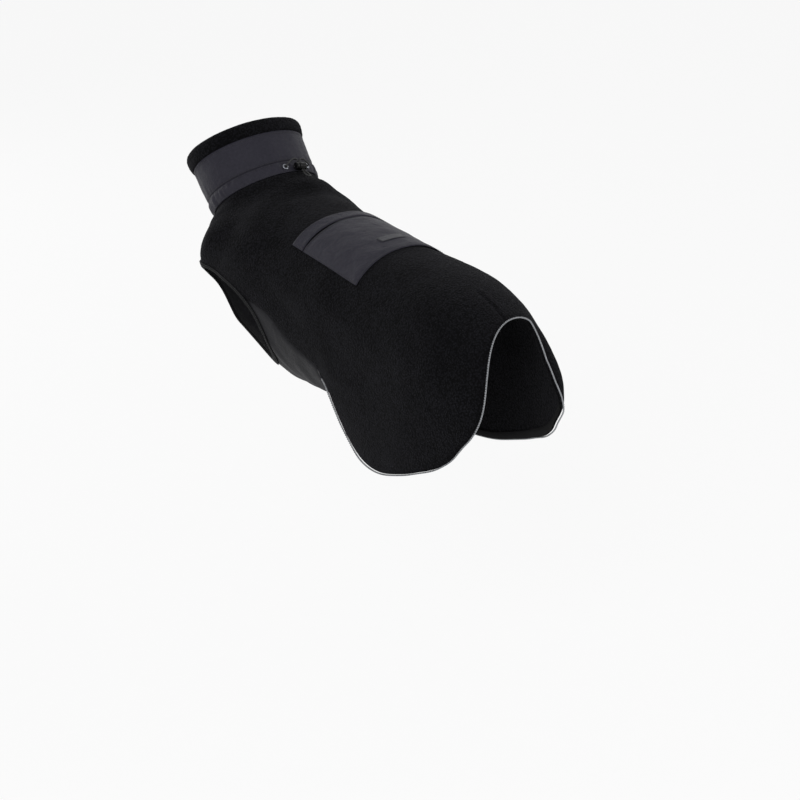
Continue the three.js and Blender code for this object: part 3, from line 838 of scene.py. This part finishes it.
def by_lock(x, y, z):
    """A point in the lock's own axes, in mm."""
    return lock_origin + MM * (x * lock_x + y * lock_y + z * lock_z)


def strand(side):
    """One half of the drawcord, from its eyelet to the end of the loop below the lock."""
    start, _, _, out = local_axes(EYELET_STATION, LOCK_ANGLE + EYELET_SPREAD * side, 0)
    rise = [start + MM * height * out for height in (1.6, 5)]
    return rise + [by_lock(x * side, y, z) for x, y, z in CORD_ROUTE]


cord_points = np.array(strand(1) + strand(-1)[::-1])


def smooth_line(points):
    """A smooth curve through points in space, which never swings wide of them."""
    knots = np.concatenate([[0], np.cumsum(np.linalg.norm(np.diff(points, axis=0), axis=1) ** 0.5)])
    result = []
    ends = np.vstack([2 * points[0] - points[1], points, 2 * points[-1] - points[-2]])
    times = np.concatenate([[2 * knots[0] - knots[1]], knots, [2 * knots[-1] - knots[-2]]])
    for i in range(1, len(points)):
        a, b, c, d = ends[i - 1:i + 3]
        ta, tb, tc, td = times[i - 1:i + 3]
        for t in np.linspace(tb, tc, 8, endpoint=False):
            ab = ((tb - t) * a + (t - ta) * b) / (tb - ta)
            bc = ((tc - t) * b + (t - tb) * c) / (tc - tb)
            cd = ((td - t) * c + (t - tc) * d) / (td - tc)
            abc = ((tc - t) * ab + (t - ta) * bc) / (tc - ta)
            bcd = ((td - t) * bc + (t - tb) * cd) / (td - tb)
            result.append(((tc - t) * abc + (t - tb) * bcd) / (tc - tb))
    return np.vstack([*result, points[-1]])


cord_line = smooth_line(cord_points)
drawcord = own(tube("drawcord_braid", cord_line, CORD_RADIUS * MM, CORD, sides=14), "cord", "drawcord")

# The lock: (radius, place along its axis) corners in mm of its barrel and of its button
LOCK_AXES = (lock_origin, lock_y, lock_z, lock_x)
LOCK_STEPS = 56
SHARP = math.radians(35)
BARREL = [(0.05, -6.5), (4.6, -6.5), (5.6, -6.1), (6.0, -5.2), (6.0, -4.4), (5.7, -4.1), (5.7, -3.6),
          (6.0, -3.3), (6.0, 3.3), (5.7, 3.6), (5.7, 4.1), (6.0, 4.4), (6.0, 5.4), (5.7, 6.2),
          (5.2, 6.5), (0.05, 6.5)]
BUTTON = [(0.05, 7.0), (4.9, 7.0), (5.2, 7.3), (5.2, 10.0), (4.9, 10.9), (4.2, 11.3), (3.4, 11.3),
          (3.0, 11.0), (0.05, 11.0)]
barrel = turned("lock_barrel", BARREL, LOCK_AXES, PLASTIC, LOCK_STEPS)
slot_corners = [by_lock(x, y, z) for x in (-3.2, 3.2) for y in (-12, 12) for z in (-1.6, 1.6)]
slot_faces = [(0, 1, 3, 2), (4, 6, 7, 5), (0, 4, 5, 1), (2, 3, 7, 6), (0, 2, 6, 4), (1, 5, 7, 3)]
cutter = make_mesh("slot_cutter", slot_corners, slot_faces, PLASTIC, smooth=False)
cut = barrel.modifiers.new("slot", "BOOLEAN")
cut.object = cutter
cut.solver = "EXACT"
hollowed = bpy.data.meshes.new_from_object(barrel.evaluated_get(bpy.context.evaluated_depsgraph_get()))
barrel.modifiers.clear()
barrel.data = hollowed
bpy.data.objects.remove(cutter)
barrel.data.set_sharp_from_angle(angle=SHARP)
own(barrel, "lock_plastic", "cord_lock_body")

button = turned("lock_button", BUTTON, LOCK_AXES, PLASTIC, LOCK_STEPS)
button.data.set_sharp_from_angle(angle=SHARP)
own(button, "lock_plastic", "cord_lock_button")

SIDES = ((1, "left"), (-1, "right"))
EYELET_STEPS = 48
EYELET_RIM = smooth_profile([(2.2, 0), (4.6, 0), (4.6, 0.7), (3.6, 1.3), (2.7, 1.2), (2.2, 0.5)])
for side, word in SIDES:
    axes = local_axes(EYELET_STATION, LOCK_ANGLE + EYELET_SPREAD * side, 1.6)
    ring_piece = turned(f"eyelet_ring_{word}", EYELET_RIM, axes, METAL, EYELET_STEPS)
    own(ring_piece, "eyelet_metal", f"eyelet_{word}")


# ---- Outlines -----------------------------------------------------------------------------------

turns = np.radians(np.arange(90, 451, 3))
oval = np.stack([184 + 53 * np.sin(turns), 127 + 25 * np.cos(turns)], -1)    # the armhole
above = oval[:, 1] < np.interp(oval[:, 0], side_seam[:, 0], side_seam[:, 1])
fleece_arc = oval[above][::-1]
first_above, last_above = np.where(above)[0][[0, -1]]
belly_arc = np.vstack([oval[last_above + 1:], oval[:first_above]])


def with_arc(edge, arc, gap):
    """The seam, moved by a gap in degrees, with an arc of the armhole in place of its middle."""
    before = edge[edge[:, 0] < arc[0, 0] - 0.5]
    after = edge[edge[:, 0] > arc[-1, 0] + 0.5]
    return np.vstack([before + (0, gap), arc, after + (0, gap)])


def across(station_at, first, last):
    """A cut edge round the girth between two angles, with a point about every two degrees."""
    angle = np.linspace(first, last, max(2, int(abs(last - first) / 2) + 1))
    return np.stack([station_at(angle), angle], -1)


def level(station):
    return lambda angle: np.full(len(angle), float(station))


back_side = np.vstack([with_arc(side_seam, fleece_arc, 0), left_hem[1:]])
far_side = np.vstack([mirror(with_arc(side_seam, fleece_arc, 0)), right_hem[1:]])
back_outline = np.vstack([back_side, far_side[-2::-1], across(level(COLLAR_SEAM), -119, 119)[1:-1]])
# The jersey runs half a degree under the fleece, so that no light shows through the seam
belly_side = with_arc(side_seam[side_seam[:, 0] < BELLY_END], belly_arc, -0.5)
belly_rear = np.interp(BELLY_END, side_seam[:, 0], side_seam[:, 1]) + 0.3
belly_outline = np.vstack([belly_side, across(level(BELLY_END), belly_rear, 360 - belly_rear),
                           lower_half(belly_side)[::-1], across(level(COLLAR_SEAM), 240.7, 119.3)[1:-1]])
hem_side = side_seam[(side_seam[:, 0] > BELLY_END) & (side_seam[:, 0] < BELLY_HEM_END)] + (0, 0.6)
hem_front = across(level(BELLY_END + 0.4), 360 - belly_rear - 0.3, belly_rear + 0.3)
hem_rear = across(level(BELLY_HEM_END - 0.4), 124.5, 235.5)
belly_hem_outline = np.vstack([hem_front, hem_side, hem_rear, lower_half(hem_side)[::-1]])


def pocket_angle(station):
    return 46 + 5 * (station - 243) / 143


def pocket_top(angle):
    return 229 + 14 * (angle / 46) ** 2


def band_end(angle):
    return 251 + 15 * (angle / 46) ** 2


def slit(angle):
    """Gap between the band and the patch: sewn shut, but open between these two angles."""
    first, last = 8, 43
    bulge = np.maximum(0, np.sin(np.pi * (angle - first) / (last - first)))
    return 0.4 + 3 * bulge * ((angle > first) & (angle < last))


band_outline = np.vstack([across(pocket_top, pocket_angle(243), -pocket_angle(243)),
                          across(band_end, -pocket_angle(266), pocket_angle(266))])
patch_outline = np.vstack([across(lambda a: band_end(a) + slit(a), pocket_angle(267), -pocket_angle(267)),
                           across(level(386), -pocket_angle(386), pocket_angle(386))])
label_outline = np.vstack([across(level(341.5), 10.5, -10.5), across(level(356.5), -10.5, 10.5)])


# ---- Pieces -------------------------------------------------------------------------------------

def unevenness(station, angle, size, seed):
    """Soft noise from -1 to 1 over the form; size in mm."""
    points = (section_point(station, angle) / (size * MM)).reshape(-1, 3)
    values = [noise.noise((x + seed, y, z)) for x, y, z in points]
    return np.array(values).reshape(np.shape(station))


def fleece_relief(cut):
    """Curly pile: small tufts over soft lumps, pulled in at the dart in the rump."""
    at = cut.station, cut.angle
    tufts = 0.16 * unevenness(*at, 7, 4) + 0.25 * unevenness(*at, 12, 9)
    lumps = 0.9 * unevenness(*at, 48, 2)
    dart = np.exp(-(cut.flat[:, 0] / 2.4) ** 2) * ease(cut.station - 520, 30)
    return (tufts + lumps) * ease(cut.to_edge, 6) - 2 * dart


def seam_dip(cut):
    """How far a sheet is drawn in along its sewn edges."""
    return -1.2 * (1 - ease(cut.to_edge, 7))


back = Cut(back_outline, 2.7 * MM)
back_dip = seam_dip(back)
back_piece = shell("back_fleece", back, FLEECE, -3.0, 0.0, 2.4, fleece_relief(back) + back_dip, back_dip)
own(back_piece, "fleece", "back_panel")

belly = Cut(belly_outline, 2.9 * MM)
belly_relief = 0.7 * unevenness(belly.station, belly.angle, 24, 5.0) * ease(belly.to_edge, 8)
belly_relief += seam_dip(belly)
belly_piece = shell("belly_jersey", belly, STRETCH, -1.4, 0.0, 1.2, belly_relief, belly_relief)
own(belly_piece, "stretch_fabric", "belly_panel")

belly_hem_cut = Cut(belly_hem_outline, 2.4 * MM)
belly_hem_piece = shell("belly_hem_band", belly_hem_cut, STRETCH, -2.0, 0.4, 1.2)
own(belly_hem_piece, "binding", "belly_hem")

band = Cut(band_outline, 2.0 * MM)
band_relief = 0.5 * unevenness(band.station, band.angle, 14, 7.0) * ease(band.to_edge, 4)
band_piece = own(shell("pocket_welt", band, NYLON, 0.9, 3.4, 1.6, band_relief), "nylon", "pocket_band")

patch = Cut(patch_outline, 2.3 * MM)
patch_relief = (0.9 * unevenness(patch.station, patch.angle, 20, 3.0) + 0.9) * ease(patch.to_edge, 12)
patch_piece = own(shell("pocket_cloth", patch, NYLON, 0.8, 2.1, 1.6, patch_relief), "nylon", "pocket_patch")

label = Cut(label_outline, 1.3 * MM)
label_piece = own(shell("pocket_tag", label, LABEL, 3.5, 4.2, 0.8), "label", "pocket_label")


def outer_part(height):
    """1 on a ring's outer face, 0 on its inner one."""
    return np.clip((height + 0.7) / 0.5, 0, 1)


def shell_wrinkles(station, angle, height):
    """Nylon drawn up by the cord: creases along the neck, short gathers and a groove at the casing."""
    low = 0.7 * unevenness(station * 0.35, angle, 13, 6.0) + 0.9 * unevenness(station, angle, 34, 1.0)
    ends = ease(station - 20, 8) * ease(68 - station, 6)
    gathers = 0.9 * unevenness(station * 0.25, angle, 6, 3.0) * ease(station - 50, 14)
    groove = 1.3 * (1 - ease(68 - station, 4))
    return outer_part(height) * ((low + gathers) * ends - groove)


def casing_gathers(station, angle, height):
    """Gathers along the cord's tunnel, which swells between its seams, with a groove at the first."""
    waves = unevenness(station * 0.25, angle, 5.5, 3.0) * 2.2
    swell = 1.5 * np.sin(np.pi * np.clip((station - 68) / 19.6, 0, 1))
    groove = 1.4 * (1 - ease(station - 68, 4))
    return outer_part(height) * (waves * np.clip(swell, 0.2, 1) + swell - groove)


def pile(station, angle, height):
    """Curly pile on the face of the lining that shows."""
    curls = 0.55 * unevenness(station, angle + height * 3, 3.2, 8.0)
    return curls + 0.6 * unevenness(station, angle, 22, 4.0)


def profile_between(corners, step):
    """The corners of a closed profile with more points between them, evenly spaced."""
    corners = np.array(corners, float)
    points = []
    for start, end in zip(corners, np.roll(corners, -1, axis=0)):
        count = max(1, int(round(np.linalg.norm(end - start) / step)))
        points += [start + (end - start) * k / count for k in range(count)]
    return points


shell_profile = profile_between(
    [(67.2, -1.2), (21, -1.2), (20.4, -0.8), (20.4, -0.4), (21, 0), (67.2, 0), (67.6, -0.6)], 2.4)
collar_piece = ring("collar_nylon", shell_profile, NYLON, shell_wrinkles, 260)
own(collar_piece, "nylon", "collar_shell")
casing_profile = profile_between(
    [(87.4, -1.2), (68.4, -1.2), (68, -0.8), (68, -0.4), (68.4, 0), (87.2, 0), (87.6, -0.6)], 1.6)
channel_piece = ring("collar_channel", casing_profile, NYLON, casing_gathers, 360)
own(channel_piece, "nylon", "collar_casing")
lining_profile = profile_between(
    [(87.6, -5.2), (86, -5.6), (14, -5.6), (6, -6.2), (1.5, -5.8), (-1.2, -3.6), (-1.6, -1.2),
     (-0.6, 0.8), (2, 2.4), (6, 3.2), (13, 3.0), (18, 2.2), (20, 0.8), (20.2, -1.2), (21, -2.4),
     (86, -2.4), (87.6, -2.8)], 2.2)
lining_piece = own(ring("collar_fleece", lining_profile, FLEECE, pile, 260), "fleece", "collar_lining")


# ---- Edges: piping, facing, bindings ------------------------------------------------------------

def beside(line, distance, closed=False):
    """A flat line moved sideways, which is outwards from the hem where the distance is positive."""
    ahead_less_behind = np.roll(line, -1, axis=0) - np.roll(line, 1, axis=0)
    way = unit(ahead_less_behind if closed else np.gradient(line, axis=0))
    return line + distance * np.stack([way[:, 1], -way[:, 0]], -1)


def edge_band(name, line, profile, surface, closed=False):
    """A strip along a flat line. profile: closed (sideways, height) loop in mm."""
    rows = []
    for sideways, height in profile:
        place_on = form_of(beside(line, sideways, closed))
        rows.append(on_cloth(place_on[:, 0], place_on[:, 1], height))
    rows = np.array(rows)
    sides, count = rows.shape[:2]
    vertices = rows.transpose(1, 0, 2).reshape(-1, 3)
    length = run_lengths(rows[0])
    girth = run_lengths(np.array(profile)) * MM
    cloth = np.stack(np.broadcast_arrays(girth[None, :], length[:, None]), -1).reshape(-1, 2)
    faces = wrapped_faces(count, sides, closed)
    if not closed:
        faces.append(tuple(reversed(range(sides))))
        faces.append(tuple((count - 1) * sides + j for j in range(sides)))
    return make_mesh(name, vertices, faces, surface, cloth)


piping_line = form_of(beside(hem_flat, 0.8))
piping_points = on_cloth(piping_line[:, 0], piping_line[:, 1], 0.1)
piping_points = resample(piping_points, 0.75 * MM)
beads = 1 + 0.1 * np.sin(np.arange(len(piping_points)) * np.pi / 2)
piping = tube("hem_piping_cord", piping_points, 1.0 * MM, PIPING, sides=10, bead=beads)
own(piping, "piping", "hem_piping")

FACING_PROFILE = [(-0.6, -4.3), (-9.6, -4.3), (-10, -4.6), (-9.6, -5.0), (-0.6, -5.0), (-0.3, -4.6)]
facing = edge_band("hem_facing_tape", hem_flat, FACING_PROFILE, BINDING)
own(facing, "binding", "hem_facing")

BINDING_PROFILE = [(0, 1.3), (-0.9, 0.9), (-1.4, -0.4), (-1.2, -1.9), (-0.4, -2.9), (-0.1, -2.4),
                   (-0.6, -0.6), (-0.2, 0.6), (3, 0.75), (6.6, 0.9), (7, 1.2), (6.6, 1.7), (3, 1.8)]
for side, word in SIDES:
    rim_flat = resample(flat_of(oval * (1, side)), 3.0, closed=True)
    turned_profile = [(sideways * side, height) for sideways, height in BINDING_PROFILE]
    tape = edge_band(f"armhole_tape_{word}", rim_flat, turned_profile, BINDING, closed=True)
    own(tape, "binding", f"armhole_binding_{word}")


# ---- Stitching ----------------------------------------------------------------------------------

def inset(outline, distance):
    """A closed line this far inside a closed outline, as (station, angle)."""
    edge = resample(flat_of(outline), 2.5, closed=True)
    area = np.sum(edge[:, 0] * np.roll(edge[:, 1], -1) - np.roll(edge[:, 0], -1) * edge[:, 1])
    moved = beside(edge, -distance if area > 0 else distance, closed=True)
    return form_of(np.vstack([moved, moved[:1]]))


def at_height(line, height):
    line = np.asarray(line, float)
    return np.column_stack([line, np.broadcast_to(height, len(line))])


def own_stitches(name, lines, slot, **size):
    return own(stitches(name, lines, THREAD, **size), slot)


pocket_rows = [at_height(inset(band_outline, 2.4), 3.5), at_height(inset(patch_outline, 2.6), 2.6)]
pocket_thread = own_stitches("pocket_stitches", pocket_rows, "nylon")
label_thread = own_stitches("label_stitches", [at_height(inset(label_outline, 1.2), 4.25)], "label",
                            length=1.8, gap=0.7, width=0.4)
round_neck = np.linspace(-180, 180, 361)
COLLAR_ROWS = ((24.5, 0.25), (66.4, 0.1), (70.6, 0.35), (86.0, 0.35))    # station and height of each row
collar_rows = [at_height(np.stack([level(s)(round_neck), round_neck], -1), h) for s, h in COLLAR_ROWS]
collar_thread = own_stitches("collar_stitches", collar_rows, "nylon")
piping_edge = form_of(beside(hem_flat, 0.6))
piping_thread = own_stitches("piping_stitches", [at_height(piping_edge, 0.9)], "piping",
                             length=1.3, gap=1.9, width=1.2, height=0.2)
binding_lines = []
for side, word in SIDES:
    rim_flat = resample(flat_of(oval * (1, side)), 2.5, closed=True)
    moved = form_of(beside(rim_flat, 5.6 * side, closed=True))
    binding_lines.append(at_height(np.vstack([moved, moved[:1]]), 1.75))
binding_thread = own_stitches("armhole_stitches", binding_lines, "binding")
hem_rows = [across(level(s), 125, 235) for s in (318.5, 325.5)]
belly_thread = own_stitches("belly_stitches", [at_height(row, 0.45) for row in hem_rows], "binding")

# ---- Floor, backdrop and light ------------------------------------------------------------------

FLOOR, FLOOR_REACH = -0.66, 6.0
PAPER_GLOW = 0.88


def seen_rays(nodes, links, share):
    """This share where the camera, a reflection or a refraction looks, and 0 for light on the object."""
    ray = nodes.new("ShaderNodeLightPath")
    total = ray.outputs["Is Camera Ray"]
    for kind in ("Is Glossy Ray", "Is Transmission Ray"):
        either = place(nodes, "ShaderNodeMath", operation="MAXIMUM")
        links.new(total, either.inputs[0])
        links.new(ray.outputs[kind], either.inputs[1])
        total = either.outputs["Value"]
    scaled = place(nodes, "ShaderNodeMath", operation="MULTIPLY")
    links.new(total, scaled.inputs[0])
    scaled.inputs[1].default_value = share
    return scaled.outputs["Value"]


def blended(nodes, links, plain, glowing):
    """Mixes two shaders into the output and returns the socket for the second one's share."""
    choose = nodes.new("ShaderNodeMixShader")
    links.new(plain, choose.inputs[1])
    links.new(glowing, choose.inputs[2])
    outputs = ("ShaderNodeOutputMaterial", "ShaderNodeOutputWorld")
    out = next(node for node in nodes if node.bl_idname in outputs)
    links.new(choose.outputs["Shader"], out.inputs["Surface"])
    return choose.inputs["Fac"]


stage_surface, nodes, links, shader = material("pale_paper")
grain = place(nodes, "ShaderNodeTexNoise", Scale=40.0, Detail=3.0)
links.new(space_place(nodes), grain.inputs["Vector"])
paper = ramp(nodes, links, grain.outputs["Fac"], 0.3, 0.7, linear(243, 243, 243), linear(246, 246, 246))
links.new(paper, shader.inputs["Base Color"])
shader.inputs["Roughness"].default_value = 0.9
glow = place(nodes, "ShaderNodeEmission", Color=(1, 1, 1, 1), Strength=1.0)
share = blended(nodes, links, shader.outputs["BSDF"], glow.outputs["Emission"])
links.new(seen_rays(nodes, links, PAPER_GLOW), share)
mesh = bpy.data.meshes.new("studio_floor")
corners = [(x * FLOOR_REACH, y * FLOOR_REACH, FLOOR) for x, y in ((-1, -1), (1, -1), (1, 1), (-1, 1))]
mesh.from_pydata(corners, [], [(0, 1, 2, 3)])
mesh.materials.append(stage_surface)
floor = bpy.data.objects.new("studio_floor", mesh)
bpy.context.collection.objects.link(floor)

world = bpy.data.worlds.new("studio")
bpy.context.scene.world = world
world.use_nodes = True
nodes, links = world.node_tree.nodes, world.node_tree.links
lit = nodes["Background"]
lit.inputs["Color"].default_value = (1, 1, 1, 1)
lit.inputs["Strength"].default_value = 0.42
seen = place(nodes, "ShaderNodeBackground", Strength=1.0, Color=(1, 1, 1, 1))
share = blended(nodes, links, lit.outputs["Background"], seen.outputs["Background"])
links.new(seen_rays(nodes, links, 1.0), share)


def softbox(name, at, size, power):
    """A square-cornered lamp that faces the middle of the garment."""
    lamp = bpy.data.lights.new(name, "AREA")
    lamp.shape = "RECTANGLE"
    lamp.size, lamp.size_y = size
    lamp.energy = power
    holder = bpy.data.objects.new(name, lamp)
    holder.location = at
    holder.rotation_euler = (Vector(at) - Vector((0, 0.05, -0.1))).to_track_quat("Z", "Y").to_euler()
    bpy.context.collection.objects.link(holder)


softbox("key", (2.5, 1.9, 1.7), (1.6, 1.6), 50)
softbox("fill", (-2.4, 2.0, 1.4), (1.8, 1.8), 24)
softbox("front", (0.6, -2.9, 0.5), (1.8, 1.4), 16)

bpy.context.scene.view_settings.view_transform = "Standard"
